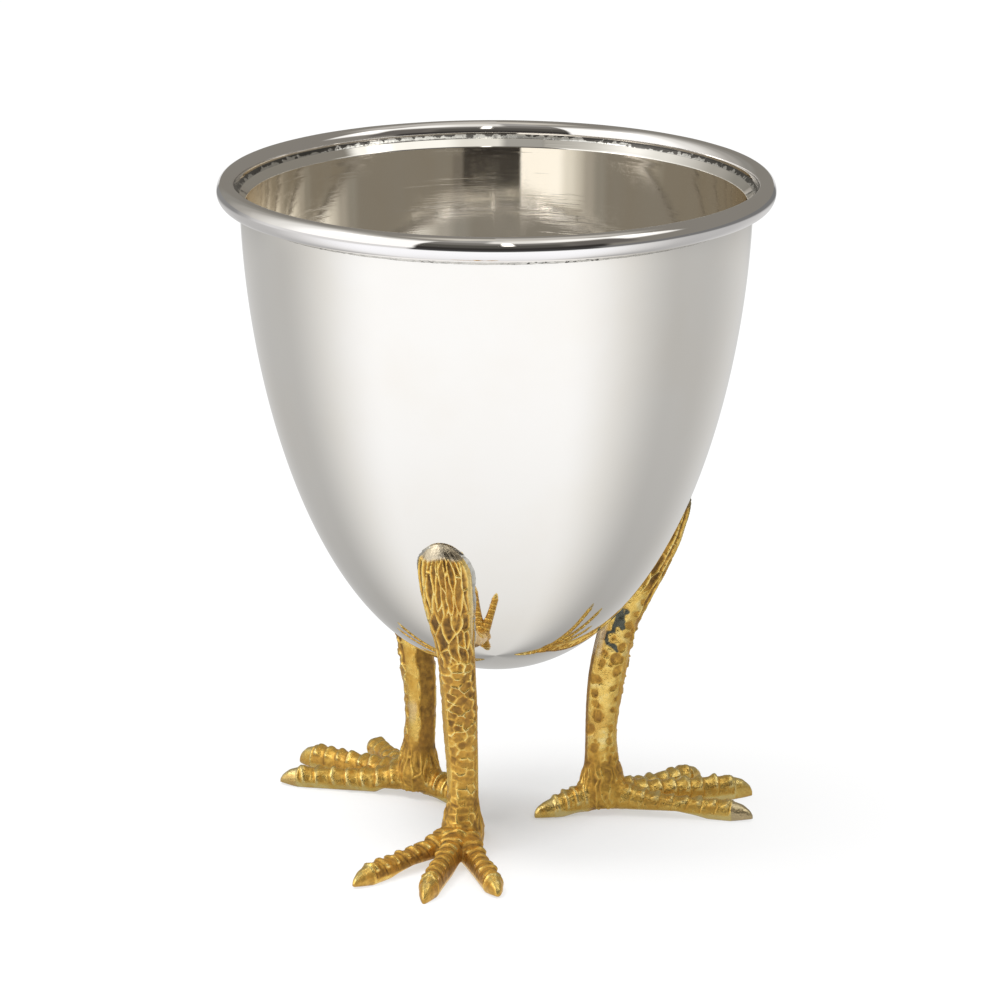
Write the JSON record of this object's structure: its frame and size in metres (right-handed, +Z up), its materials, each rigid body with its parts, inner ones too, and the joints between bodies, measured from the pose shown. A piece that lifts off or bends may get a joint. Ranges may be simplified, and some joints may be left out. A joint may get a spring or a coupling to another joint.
{
  "type": "egg cup",
  "caption": "Egg cup: a deep polished egg-shaped bowl with a rolled rim wire, standing on cast bird's legs with spread toes.",
  "frame": {"origin": "the bowl's axis at the plane that the feet stand on", "axes": "+Z up along the bowl's axis, -Y towards the front leg, +X to the right"},
  "size_m": [0.052, 0.052, 0.0627],
  "materials": {
    "silver": "mirror-polished silver plate",
    "rim_silver": "mirror-polished silver plate",
    "gilding": "gilt casting, ridges polished, recesses matt",
    "solder": "dull grey silver solder"
  },
  "bodies": {
    "root": {"bowl": "silver", "rim_wire": "rim_silver", "rim_solder_seam": "solder", "leg_front": "gilding", "leg_right": "gilding", "leg_left": "gilding", "solder_front": "solder", "solder_right": "solder", "solder_left": "solder"}
  },
  "joints": []
}
